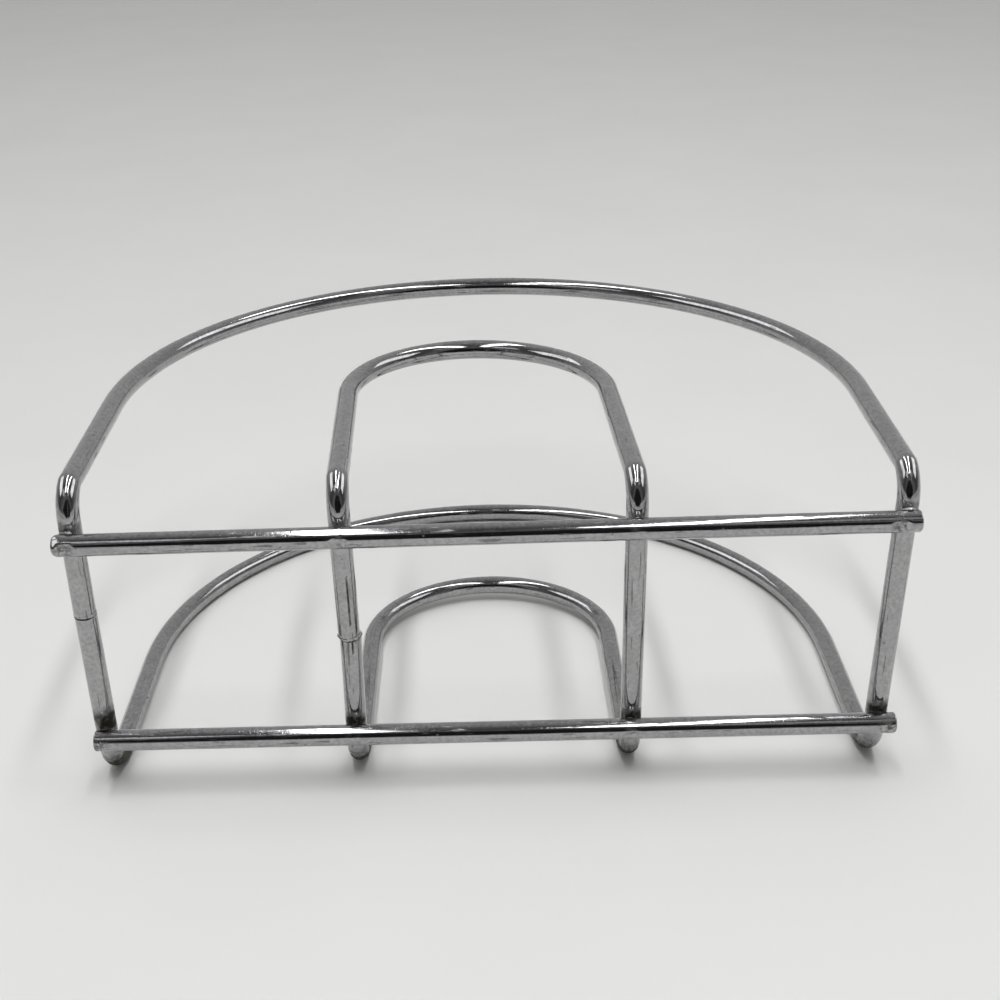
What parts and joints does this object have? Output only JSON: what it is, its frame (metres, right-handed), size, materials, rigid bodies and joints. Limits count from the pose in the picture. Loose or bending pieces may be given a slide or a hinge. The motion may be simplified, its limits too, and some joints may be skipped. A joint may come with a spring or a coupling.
{
  "type": "napkin holder",
  "caption": "Chromed round-wire napkin holder: nested hoops with arched faces welded behind straight rails; napkins stand between the faces.",
  "frame": {"origin": "bottom centre of the outer box, on the surface that the holder lies on", "axes": "+X along the rails, +Y from the rails to the crowns of the arches, +Z from the lower face to the upper face; the holder lies on its back as pictured, and in use it is turned about X to stand on its rails"},
  "size_m": [0.1803, 0.1302, 0.0782],
  "materials": {
    "hoop_chrome": "worn bright chrome plate with fine scratches and pits",
    "rail_chrome": "bright chrome plate, speckled with fine pits",
    "weld_metal": "dull plated weld metal, dark with old grime"
  },
  "bodies": {
    "root": {"outer_hoop": "hoop_chrome", "inner_hoop": "hoop_chrome", "upper_rail": "rail_chrome", "lower_rail": "rail_chrome", "outer_seam_weld": "weld_metal", "inner_seam_weld": "weld_metal", "weld_upper_outer_left": "weld_metal", "weld_upper_inner_left": "weld_metal", "weld_upper_inner_right": "weld_metal", "weld_upper_outer_right": "weld_metal", "weld_lower_outer_left": "weld_metal", "weld_lower_inner_left": "weld_metal", "weld_lower_inner_right": "weld_metal", "weld_lower_outer_right": "weld_metal"}
  },
  "joints": []
}
